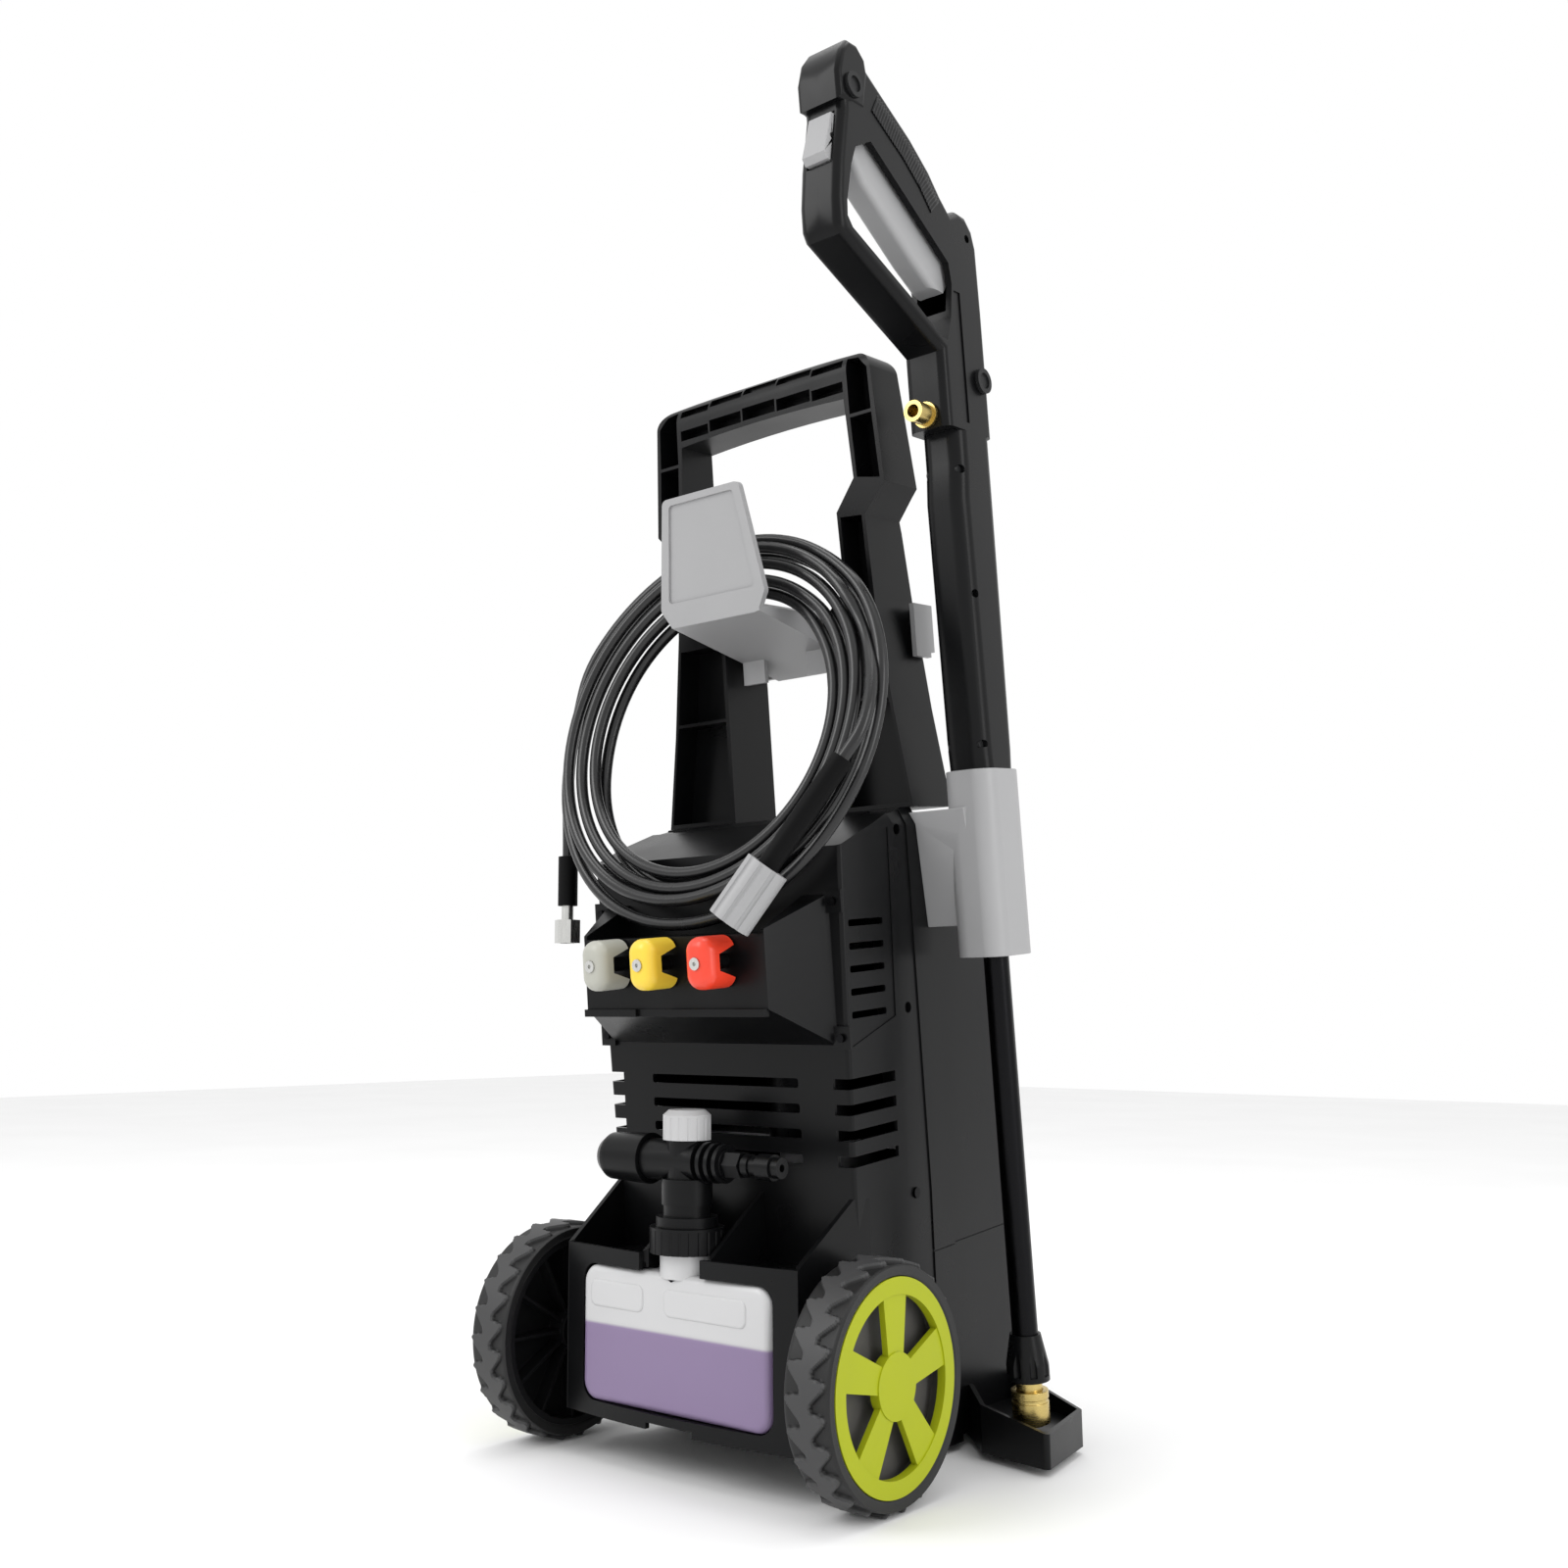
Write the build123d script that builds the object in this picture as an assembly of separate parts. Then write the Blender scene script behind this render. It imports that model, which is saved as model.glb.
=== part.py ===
from build123d import *
import math
import os

# Pressure washer, millimetres, +Z up.
# Two frames are used while modelling.
#   machine frame: X to the right seen from the front, front is -Y, the wheel axle at y = 0.
#   tower frame:   the same, before the tower leans forward about the X axis.
# At the end every piece is shifted so that the origin is the bottom centre of the machine.

# ---- driving dimensions -------------------------------------------------------------------------
LEAN = 5.14                  # forward lean of housing, handle and lance, degrees
WALL = 3.0                   # moulded wall
GAP = 0.3                    # gap between pieces that move past each other

WHEEL_R = 89.0               # seven inch wheel
WHEEL_OUT = 184.8            # outer face of a wheel, from the middle plane
WHEEL_IN = 144.8             # inner face
RIM_R = 77.0                 # inside of the tyre
AXLE_R = 8.0
AXLE_IN = 106.0
AXLE_OUT = 174.0

BODY_FRONT = 49.0            # housing in the tower frame
BODY_BACK = 325.0
BODY_SEAM = 124.0
BODY_TOP = 517.0
BODY_HALF = 136.0            # half width at the shoulder
BODY_TAPER = 0.03            # loss of half width per mm going down
SHOULDER_Z = 502.0
COLUMN_STEP = 4.0            # the rear column lies this far inside the flange
REAR_FACE = BODY_BACK - COLUMN_STEP
STRIP_STEP = 1.2             # recess of the strip that carries the side screws
SEAM_Z = 150.0               # part line around the rear housing
SEAM_DEPTH = 0.8

HANDLE_FRONT = 156.5
HANDLE_TOP = 924.0

HOSE_D = 10.6
COIL_X = -8.0                # hose coil: ring hung on the hook, leaning on the nozzle panel
COIL_Y = 68.5
COIL_Z = 597.8
COIL_SLOPE = 0.335           # forward slope of the ring towards its bottom
COIL_R_OUT = 184.0
COIL_R_IN = 120.0
COIL_THICK = 31.0

GUN_X = 185.0                # middle plane of the gun
GUN_HALF = 20.0
LANCE_Y = 191.0              # lance axis in the tower frame
LANCE_R = 10.5
LANCE_FOOT = 12.5            # bottom of the coupler

FOAM_Y = -23.0               # vertical axis of the foam cannon, machine frame
FOAM_Z = 239.5               # axis of its barrel

NOZZLE_Z = 400.0             # stored nozzles, tower frame
NOZZLE_X = {"white": -58.0, "yellow": -5.0, "red": 56.0}
PANEL_FRONT = -7.0


# ---- small helpers ------------------------------------------------------------------------------
def block(x, y, z):
    """A box from three (low, high) pairs."""
    size = (x[1] - x[0], y[1] - y[0], z[1] - z[0])
    middle = ((x[0] + x[1]) / 2, (y[0] + y[1]) / 2, (z[0] + z[1]) / 2)
    return Pos(*middle) * Box(*size)


def side_slab(outline, x0, x1):
    """A plate whose outline is given in (y, z), between two x values."""
    face = make_face(Polyline(*outline, close=True))
    return extrude(Plane.YZ.offset(x0) * face, x1 - x0)


def front_slab(outline, y0, y1):
    """A plate whose outline is given in (x, z), between two y values."""
    face = make_face(Polyline(*outline, close=True))
    return extrude(Plane.XZ.offset(-y1) * face, y1 - y0)


def plan_slab(outline, z0, z1):
    """A plate whose outline is given in (x, y), between two z values."""
    face = make_face(Polyline(*outline, close=True))
    return extrude(Plane.XY.offset(z0) * face, z1 - z0)


def rod(start, end, radius, end_radius=None):
    """A round bar, or a cone when an end radius is given, between two points."""
    line = Vector(*end) - Vector(*start)
    plane = Plane(origin=start, z_dir=line)
    if end_radius is None:
        return extrude(plane * Circle(radius), line.length)
    return plane * Pos(0, 0, line.length / 2) * Cone(radius, end_radius, line.length)


def x_rod(x0, x1, y, z, radius, end_radius=None):
    return rod((x0, y, z), (x1, y, z), radius, end_radius)


def y_rod(y0, y1, x, z, radius, end_radius=None):
    return rod((x, y0, z), (x, y1, z), radius, end_radius)


def z_rod(z0, z1, x, y, radius, end_radius=None):
    return rod((x, y, z0), (x, y, z1), radius, end_radius)


def rounded_box(x, y, z, radius, axis):
    """A box with its four edges along one axis rounded."""
    shape = block(x, y, z)
    return fillet(shape.edges().filter_by(axis), radius)


def mirrored(shape):
    return mirror(shape, Plane.YZ)


def lean(shape):
    """Takes a shape from the tower frame to the machine frame."""
    return Rot(X=LEAN) * shape


def group(shapes):
    return Compound(children=[s.solid() if hasattr(s, "solid") else s for s in shapes])


# ---- housing ------------------------------------------------------------------------------------
def half_width(z):
    return BODY_HALF - max(0.0, SHOULDER_Z - z) * BODY_TAPER


def body_block(inset):
    """The outer shape of the housing, every face moved in by inset."""
    low, high = -40.0, BODY_TOP + 10
    front = [(-half_width(low) + inset, low), (half_width(low) - inset, low),
             (BODY_HALF - inset, SHOULDER_Z), (124 - inset, high),
             (-124 + inset, high), (-BODY_HALF + inset, SHOULDER_Z)]
    prism = front_slab(front, BODY_FRONT + inset, BODY_BACK - inset)
    tall = prism.edges().filter_by(lambda e: e.length > 400)
    prism = fillet(tall.group_by(Axis.Y)[-1], 42 - inset)
    front_radius = max(4 - inset, 1)
    prism = fillet(prism.edges().filter_by(lambda e: e.length > 400).group_by(Axis.Y)[0], front_radius)
    side = [(40, 31 + inset), (70, 31 + inset), (95, -2.5 + inset), (335, -24.2 + inset),
            (335, 486 - inset), (300, 500 - inset), (222, BODY_TOP - inset), (150, BODY_TOP - inset),
            (124, 512 - inset), (84, 499 - inset), (BODY_FRONT, 486 - inset), (40, 482 - inset)]
    return prism & side_slab(side, -150, 150)


COLUMN_EDGE = [(164, 530), (164, 511), (176, 416), (191, 218), (190, 149), (186, 44), (190, -40),
               (340, -40), (340, 530)]
STRIP_EDGE = [(120, 530), (143, 530), (145, 500), (158, 200), (158, -40), (120, -40)]


def housing(inset):
    """Housing with the smooth rear column set in behind the side flanges."""
    column = Pos(0, -inset, 0) * side_slab(COLUMN_EDGE, -160, 160)
    return (body_block(inset) - column) + (body_block(inset + COLUMN_STEP) & column)


def slot(centre, size, radius, axis, depth):
    """A rounded slot cutter, centred, cut along x or y."""
    plane = Plane.XZ if axis == "y" else Plane.YZ
    cutter = extrude(plane * RectangleRounded(size[0], size[1], radius), depth / 2, both=True)
    return Pos(*centre) * cutter


SCREW_SPOTS = [(132, 498), (137, 351), (136, 201)]   # side screws, (y, z) in the tower frame
FRONT_VENT_Z = [298.5, 278.5, 258.5, 238.5]
LOUVRE_Z = [424, 405.5, 387.5, 369.5, 351.5]


def screw_pockets(radius, x_in, x_out):
    pockets = []
    for y, z in SCREW_SPOTS:
        pockets.append(x_rod(x_in, x_out, y, z, radius))
        pockets.append(x_rod(-x_out, -x_in, y, z, radius))
    return pockets


def rear_shell():
    """Even wall, recessed along the screw strips, with a fine part line around it."""
    shell = housing(0) - housing(WALL)
    strip = side_slab(STRIP_EDGE, 100, 160) - body_block(STRIP_STEP)
    line = block((-160, 160), (BODY_SEAM, BODY_BACK + 10), (SEAM_Z - 0.6, SEAM_Z + 0.6))
    return shell - strip - mirrored(strip) - (line - housing(SEAM_DEPTH))


def front_housing():
    shell = body_block(0) - body_block(WALL)
    shell = shell & block((-160, 160), (0, BODY_SEAM), (-60, 600))
    side_panel = side_slab([(52, 326), (117, 346), (117, 500), (80, 490), (52, 482)], 100, 160)
    side_panel -= body_block(SEAM_DEPTH)
    shell -= side_panel
    shell -= mirrored(side_panel)
    for z in FRONT_VENT_Z:
        shell -= slot((0, BODY_FRONT, z), (158, 7.5), 2.2, "y", 12)
        for side in (-1, 1):
            shell -= block(sorted((side * 113.5, side * 150)), (40, 112), (z - 4.2, z + 4.2))
    for z in LOUVRE_Z:
        for side in (-1, 1):
            shell -= slot((side * 134, 81, z), (48, 5.5), 2.0, "x", 14)
    return lean(shell)


def rear_housing():
    shell = rear_shell() & block((-160, 160), (BODY_SEAM, BODY_BACK + 10), (-60, 600))
    inside = body_block(STRIP_STEP + 0.5)
    for boss in screw_pockets(8.0, 119, 134):
        shell += boss & inside
    for bore in screw_pockets(4.6, 124, 150):
        shell -= bore
    for bore in screw_pockets(2.1, 110, 130):
        shell -= bore
    for x, z, radius in REAR_PORTS:
        shell -= y_rod(REAR_FACE - 11, REAR_FACE + 14, x, z, radius + 0.1)
    return lean(shell)


def case_screws():
    """Six side screws and four nozzle panel screws."""
    screws = []
    for y, z in SCREW_SPOTS:
        screw = x_rod(124, 127.5, y, z, 4.3) + x_rod(112, 124, y, z, 1.9)
        screws += [screw, mirrored(screw)]
    for x, z in PANEL_TABS:
        screws.append(y_rod(43.2, 46, x, z, 3.4))
    return group([lean(s) for s in screws])


# ---- nozzle panel -------------------------------------------------------------------------------
PANEL_TABS = [(-127, 442), (127, 442), (-127, 335), (127, 335)]


def panel_hopper(inset):
    """The flared box of the panel: small at the front, wide where it meets the housing."""
    front = [(-98 + inset, 362 + inset), (98 - inset, 362 + inset), (98 - inset, 424 - inset),
             (-98 + inset, 424 - inset)]
    back = [(-121 + inset, 329 + inset), (121 - inset, 329 + inset), (121 - inset, 448 - inset),
            (-121 + inset, 448 - inset)]
    near = Plane.XZ.offset(-PANEL_FRONT - inset) * make_face(Polyline(*front, close=True))
    far = Plane.XZ.offset(-BODY_FRONT) * make_face(Polyline(*back, close=True))
    dish = block((-95 - inset, 95 + inset), (-20, 60), (420.5 - inset, 460))
    return loft([near, far], ruled=True) - dish


def nozzle_panel():
    panel = panel_hopper(0) - panel_hopper(WALL)
    panel += block((-97, 97), (PANEL_FRONT - 5, PANEL_FRONT + 2), (356.5, 362.5))
    panel -= block((-38, -3), (PANEL_FRONT - 6, PANEL_FRONT - 2), (355, 364))
    for x, z in PANEL_TABS:
        panel += block((x - 8, x + 8), (46, BODY_FRONT), (z - 9, z + 9))
    for x in NOZZLE_X.values():
        panel += y_rod(-33, PANEL_FRONT + 2, x, NOZZLE_Z, 6.0)
    return lean(panel)


def nozzle_cap(x):
    """Domed quick-connect nozzle cover with a V cut on both sides behind its front."""
    plan = Pos(x, NOZZLE_Z) * RectangleRounded(27, 41.5, 12)
    cap = extrude(Plane.XZ.offset(9) * plan, 33)
    cap = fillet(cap.faces().sort_by(Axis.Y)[0].edges(), 9.5)
    notch = [(-28, 393.5), (-28, 406.5), (-8, 413), (-8, 387)]
    cap -= side_slab(notch, x - 20, x + 20)
    cap -= y_rod(-34, 0, x, NOZZLE_Z, 6.08)
    cap -= y_rod(-50, -33, x, NOZZLE_Z, 5.0)
    return lean(cap)


def nozzle_tip(x):
    tip = y_rod(-43.2, -35, x, NOZZLE_Z, 4.9)
    tip -= y_rod(-44, -41, x, NOZZLE_Z, 1.6)
    return lean(tip)


# ---- handle -------------------------------------------------------------------------------------
LEG_OUTER = [(137, 517), (124, 604), (113, 698), (109, 774), (131.6, 799), (125, 903)]
LEG_INNER = [(95, 880), (99.8, 808), (79.3, 781), (82, 712), (57, 688), (57, 517)]


def handle():
    arch_low = 879.0
    outer = Polyline(*[(x, z) for x, z in LEG_OUTER])
    corner_r = ThreePointArc((125, 903), (119, 914.5), (107, 919))
    arch = ThreePointArc((107, 919), (0, HANDLE_TOP), (-107, 919))
    corner_l = ThreePointArc((-107, 919), (-119, 914.5), (-125, 903))
    outer_l = Polyline(*[(-x, z) for x, z in reversed(LEG_OUTER)])
    inner_l = Polyline((-137, 517), *[(-x, z) for x, z in reversed(LEG_INNER)])
    under = ThreePointArc((-95, 880), (0, arch_low + 4), (95, 880))
    inner_r = Polyline(*LEG_INNER, (137, 517))
    face = make_face([outer, corner_r, arch, corner_l, outer_l, inner_l, under, inner_r])
    frame = extrude(Plane.XZ.offset(-230) * face, 230 - HANDLE_FRONT)
    side = make_face([
        Polyline((HANDLE_FRONT, 517), (HANDLE_FRONT, 903)),
        ThreePointArc((HANDLE_FRONT, 903), (178, 925), (199.5, 903)),
        Polyline((199.5, 903), (208, 792), (212, 764), (216, 703), (217.5, 645), (217.5, 517),
                 (HANDLE_FRONT, 517))])
    frame = frame & extrude(Plane.YZ.offset(-150) * side, 300)
    frame -= handle_channels()
    return lean(frame)


def handle_channels():
    """Pockets that leave the legs and the bar as ribbed channels, on both sides of a web."""
    depth = (HANDLE_FRONT - 1, HANDLE_FRONT + 27)
    behind = (HANDLE_FRONT + 30, 240)
    cuts = []
    legs = [[(61, 521), (133.4, 521), (121, 604), (119.4, 612), (61, 612)],
            [(61, 615), (119, 615), (111, 684), (61, 684)],
            [(85.5, 712), (108.6, 700), (105.5, 774), (83, 776)],
            [(103.6, 808), (127.2, 803), (123.2, 862), (100.6, 862)],
            [(100.4, 865), (123, 865), (121.5, 903), (112, 914), (99.6, 916)]]
    for outline in legs:
        for layer in (depth, behind):
            cut = front_slab(outline, *layer)
            cuts += [cut, mirrored(cut)]
    bays = [(-95, -61), (-59, -21), (-19, 19), (21, 59), (61, 95)]
    for x0, x1 in bays:
        drop = 5.0 * (max(abs(x0), abs(x1)) / 107) ** 2
        cuts.append(block((x0, x1), (depth[0], HANDLE_FRONT + 12), (913 - drop, 920 - drop)))
        cuts.append(block((x0, x1), (depth[0], HANDLE_FRONT + 16), (888 - drop * 0.4, 900 - drop)))
    return Compound(children=cuts)


# ---- hose hook ----------------------------------------------------------------------------------
def hose_hook():
    """Light hook: an arm between the handle legs with an upright plate at its front end."""
    arm_side = [(75, 690.7), (226, 653), (226, 716), (75, 716)]
    arm = side_slab(arm_side, -50, 50) & y_rod(70, 230, 0, 592, 115)
    hollow_side = [(88, 691), (227, 656), (227, 706), (88, 706)]
    arm -= side_slab(hollow_side, -47, 47) & y_rod(70, 230, 0, 592, 111.5)
    plate_plane = Plane(origin=(0, 75, 692), x_dir=(1, 0, 0), z_dir=(0, -112, -10))
    plate_face = plate_plane * make_face(Polyline((-44, 112), (43, 112), (58, 15), (48, -2),
                                                  (-49, -2), (-60, 15), close=True))
    plate_face = fillet(plate_face.vertices(), 6)
    plate = extrude(plate_face, -6)
    panel = plate_plane * make_face(Polyline((-37, 106), (36, 106), (48, 20), (-50, 20), close=True))
    panel = fillet(panel.vertices(), 4)
    plate -= extrude(panel, -2)
    hook = plate + arm + block((-126, 126), (219, 226), (655, 697))
    for side in (-1, 1):
        hook += block(sorted((side * 121.5, side * 126)), (197, 220), (650, 697))
        hook += block(sorted((side * 24, side * 49)), (172, 177), (645, 668))
    return lean(hook)


# ---- lance holster and foot bracket -------------------------------------------------------------
BRACKET_FLOOR = 26.0                      # inner floor of the foot bracket, machine frame


def oval_prism(half_x, half_y, radius, z0, z1):
    face = Plane.XY.offset(z0) * Pos(GUN_X, LANCE_Y - 1) * RectangleRounded(2 * half_x, 2 * half_y, radius)
    return extrude(face, z1 - z0)


def lance_holster():
    """Sleeve that the barrel of the gun drops into, on a web screwed to the housing."""
    sleeve = oval_prism(23.2, 30.2, 16.5, 389, 543)
    web = side_slab([(157, 512), (213, 512), (213, 415), (171, 415)], 120, GUN_X)
    web = web - housing(0)
    holster = web + sleeve - oval_prism(20.6, 27.6, 13.9, 380, 550)
    return lean(holster)


def lance_bracket():
    """Open box at the foot of the housing that the lance stands in, machine frame."""
    outline = [(108, 213), (119, 202), (150, 168), (218, 155), (203, 240), (108, 285)]
    inner = [(100, 219), (121, 206.5), (152, 171.8), (213.6, 159.5), (199.8, 237.4), (100, 285)]
    box = fillet(plan_slab(outline, 6, 62).edges().filter_by(Axis.Z), 4)
    box -= plan_slab(inner, BRACKET_FLOOR, 70)
    box -= plan_slab(inner, 0, BRACKET_FLOOR - WALL)
    return box - rim_cut() - lean(housing(0))


def rim_cut():
    """Removes what stands above the sloping rim of the foot bracket."""
    face = make_face(Polyline((90, 52.5), (225, 31), (225, 90), (90, 90), close=True))
    return extrude(Plane.XZ.offset(-300) * face, 200)


# ---- bottle cradle ------------------------------------------------------------------------------
def cradle_wall(x_front, x_back, thick, low):
    """One upright wall of the cradle, following the sloping shoulder line."""
    plan = [(x_front - thick, -33), (x_front, -36), (x_back, 50), (x_back - thick, 50)]
    wall = plan_slab(plan, low, 216)
    profile = [(-60, 35), (-60, 167.6), (-36, 167.6), (30, 214), (60, 214), (60, 35)]
    return wall & side_slab(profile, -200, 200)


def bottle_cradle():
    outer = ThreePointArc((-121, -35.6), (0, -45.6), (121, -35.6))
    inner = ThreePointArc((121, -31.2), (0, -41.2), (-121, -31.2))
    ends = [Line((121, -35.6), (121, -31.2)), Line((-121, -31.2), (-121, -35.6))]
    front_face = make_face([outer, ends[0], inner, ends[1]])
    cradle = extrude(Plane.XY.offset(35) * front_face, 167.6 - 35)
    window = RectangleRounded(198.6, 107.2, 14)
    cradle -= extrude(Plane.XZ.offset(20) * Pos(0, 100.4) * window, 40)
    cradle -= block((-32, 32), (-60, -20), (140, 180))
    cradle -= block((-24, 24), (-60, -20), (30, 40))
    for x_front, x_back, low in ((121, 127.6, 35), (36.4, 36.4, 155)):
        wall = cradle_wall(x_front, x_back, 4, low)
        cradle += wall
        cradle += mirrored(wall)
    floor_plan = [(-120, -33), (-30, -40), (30, -40), (120, -33), (126, 50), (-126, 50)]
    cradle += plan_slab(floor_plan, 42.5, 46.5)
    pocket_floor = plan_slab([(34, -40), (119, -33), (125, 50), (34, 50)], 155, 158.5)
    pocket_floor -= block((62, 104), (-12, 18), (150, 162))
    cradle += pocket_floor
    cradle += mirrored(pocket_floor)
    boss = x_rod(118, 143.6, 0, WHEEL_R, 17, 15)
    cradle += boss
    cradle += mirrored(boss)
    bore = x_rod(AXLE_IN, 150, 0, WHEEL_R, AXLE_R)
    cradle -= bore
    cradle -= mirrored(bore)
    return cradle - lean(body_block(0))


# ---- wheels -------------------------------------------------------------------------------------
def tyre():
    ring = x_rod(WHEEL_IN, WHEEL_OUT, 0, WHEEL_R, WHEEL_R)
    ring = fillet(ring.edges().filter_by(GeomType.CIRCLE), 4)
    return ring - x_rod(WHEEL_IN - 1, WHEEL_OUT + 1, 0, WHEEL_R, RIM_R)


def wheel_disc():
    rim_back = WHEEL_IN + 1.5
    disc = x_rod(rim_back, 177, 0, WHEEL_R, RIM_R) - x_rod(rim_back - 1, 180, 0, WHEEL_R, RIM_R - 5)
    disc += x_rod(163, 167, 0, WHEEL_R, RIM_R - 4)
    disc += x_rod(WHEEL_IN + 0.8, 169.6, 0, WHEEL_R, 17)
    for i in range(12):
        rib = block((150, 165), (-1.3, 1.3), (15, RIM_R - 3))
        disc += Pos(0, 0, WHEEL_R) * Rot(X=30 * i) * rib
    return disc - x_rod(WHEEL_IN - 1, 180, 0, WHEEL_R, AXLE_R + 0.08)


def hub_cap():
    """Snap-on cover: flat ring, centre boss and five wide spokes over a dark recess."""
    cap = x_rod(177, 184, 0, WHEEL_R, RIM_R - 0.4) - x_rod(170, 190, 0, WHEEL_R, 64)
    cap += x_rod(176, 184, 0, WHEEL_R, 24)
    for i in range(5):
        spoke = plan_spoke()
        cap += Pos(0, 0, WHEEL_R) * Rot(X=72 * i) * spoke
    return cap


def plan_spoke():
    face = make_face(Polyline((-9, 15), (9, 15), (15, 66), (-15, 66), close=True))
    return extrude(Plane.YZ.offset(178) * face, 5)


def push_nut():
    return x_rod(170.1, 172.6, 0, WHEEL_R, 13) - x_rod(169, 175, 0, WHEEL_R, AXLE_R)


# ---- drive and pump -----------------------------------------------------------------------------
MOTOR_Y = 190.0
REAR_PORTS = [(-34, 85, 13.0), (34, 85, 11.0), (64, 60, 9.0), (60, 430, 8.3)]


def motor_can():
    return lean(z_rod(235, 395, 0, MOTOR_Y, 52) - z_rod(230, 400, 0, MOTOR_Y, 48))


def motor_end_bells():
    bells = []
    for low, high in ((227, 235), (395, 403)):
        bell = z_rod(low, high, 0, MOTOR_Y, 52)
        if low < 300:
            bell += block((-120, 120), (MOTOR_Y - 22, MOTOR_Y + 22), (229, 235))
        bell -= z_rod(low - 1, high + 1, 0, MOTOR_Y, 7.08)
        bells.append(lean(bell))
    return group(bells)


def motor_rotor():
    rotor = z_rod(262, 352, 0, MOTOR_Y, 36) + z_rod(196, 436, 0, MOTOR_Y, 7)
    for i in range(12):
        rib = Pos(0, MOTOR_Y, 0) * Rot(Z=30 * i) * block((33, 38), (-1.5, 1.5), (260, 354))
        rotor -= rib
    return lean(rotor)


def cooling_fan():
    fan = z_rod(410, 434, 0, MOTOR_Y, 14) + z_rod(410, 413, 0, MOTOR_Y, 58)
    for i in range(9):
        fan += Pos(0, MOTOR_Y, 0) * Rot(Z=40 * i) * block((12, 57), (-1, 1), (412, 430))
    return lean(fan - z_rod(400, 440, 0, MOTOR_Y, 7))


def swash_plate():
    plate = z_rod(196, 222, 0, MOTOR_Y, 30)
    wedge = Pos(0, MOTOR_Y, 203) * Rot(Y=9) * Box(100, 100, 30, align=(Align.CENTER, Align.CENTER, Align.MAX))
    return lean(plate - wedge - z_rod(190, 230, 0, MOTOR_Y, 7))


def pump_housing():
    cup = z_rod(112, 227, 0, MOTOR_Y, 44) - z_rod(150, 230, 0, MOTOR_Y, 36)
    for x, y in PISTON_SPOTS:
        cup -= z_rod(110, 152, x, y, 6.05)
    return lean(cup)


PISTON_SPOTS = [(20 * math.cos(math.radians(a)), MOTOR_Y + 20 * math.sin(math.radians(a)))
                for a in (90, 210, 330)]


def pump_pistons():
    return group([lean(z_rod(114, 197.4, x, y, 6)) for x, y in PISTON_SPOTS])


def pump_head():
    head = rounded_box((-52, 52), (MOTOR_Y - 38, MOTOR_Y + 38), (62, 112), 8, Axis.Z)
    for i in range(3):
        head += z_rod(52, 62, -30 + 30 * i, MOTOR_Y - 15, 9)
    return lean(head)


def inlet_connector():
    """Garden hose connector at the back of the pump."""
    lip = REAR_FACE + 16
    part = y_rod(MOTOR_Y + 38.5, lip, -34, 85, 13) + y_rod(lip, lip + 6, -34, 85, 15)
    part -= y_rod(lip - 22, lip + 10, -34, 85, 8)
    return lean(part)


def outlet_connector():
    """High pressure outlet that the hose nut screws onto."""
    end = REAR_FACE + 22
    part = y_rod(MOTOR_Y + 38.5, end, 34, 85, 11) - y_rod(end - 68, end + 2, 34, 85, 5)
    return lean(part)


def switch_box():
    near, far = REAR_FACE - 48, REAR_FACE - 14.5
    box = rounded_box((40, 84), (near, far), (404, 456), 3, Axis.Y)
    return lean(box - block((43, 81), (near + 3, far - 2.5), (407, 453)))


def cord_gland():
    wall = REAR_FACE - WALL
    part = y_rod(wall - 5, wall, 64, 60, 12) + y_rod(wall, REAR_FACE + 4, 64, 60, 9)
    part += y_rod(REAR_FACE + 4, REAR_FACE + 20, 64, 60, 9, 6)
    part -= y_rod(wall - 10, REAR_FACE + 30, 64, 60, 3.6)
    return lean(part)


def power_knob():
    knob = y_rod(REAR_FACE + 0.5, REAR_FACE + 14, 60, 430, 19, 17)
    knob += y_rod(REAR_FACE - 14, REAR_FACE + 1, 60, 430, 8)
    knob += block((57, 63), (REAR_FACE + 4, REAR_FACE + 18), (414, 446))
    return lean(knob)


def rubber_feet():
    foot = rounded_box((66, 104), (250, 290), (0, 8), 8, Axis.Z)
    return group([foot, mirrored(foot)])


# ---- spray gun ----------------------------------------------------------------------------------
GUN_UPPER = [(147, 800), (147, 893), (133, 900), (70, 930), (14, 957), (9, 966), (9, 986), (14, 1018),
             (25, 1064), (24, 1100), (34, 1117), (46, 1119), (84, 1094.5), (123, 1070), (149, 1049),
             (164, 1032), (176, 1021), (188, 1026), (202, 1025), (213, 1014), (218, 998), (219, 940),
             (219, 800)]
GUN_BARREL = [(169, 432), (168, 500), (163, 560), (159, 770), (162, 800), (162, 860), (218, 860),
              (218, 780), (216, 560), (212, 500), (211, 432)]
BARREL_TOP = 829
GUN_CAP = [(20, 1069), (19.5, 1092), (26, 1111), (36, 1122.5), (49, 1122.5), (60, 1113), (62, 1100),
           (54, 1069)]
GUN_WINDOW = [(38, 1034), (30, 1017), (21, 985), (20, 972), (26, 964), (110, 924), (146, 904),
              (156, 903), (164, 925), (169, 955), (166, 973), (60, 1045)]
GUN_ROOM = 14.5                           # half width of the hollow
CAP_HALF = 21.2                           # half width over the head cap and the rear boss
HEAD_BOSS = (38, 1084, 10.5)              # round boss caps on the sides: y, z, radius
REAR_BOSS = (205, 877, 11.0)
SHELL_SCREWS = [(200, 1003), (166, 795), (170, 689), (168, 563)]
TRIGGER_PIN = (56, 1052, 3.0)             # pivots: y, z, radius
LOCK_PIN = (20, 1040, 2.5)
PIN_PLAY = 0.08


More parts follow.
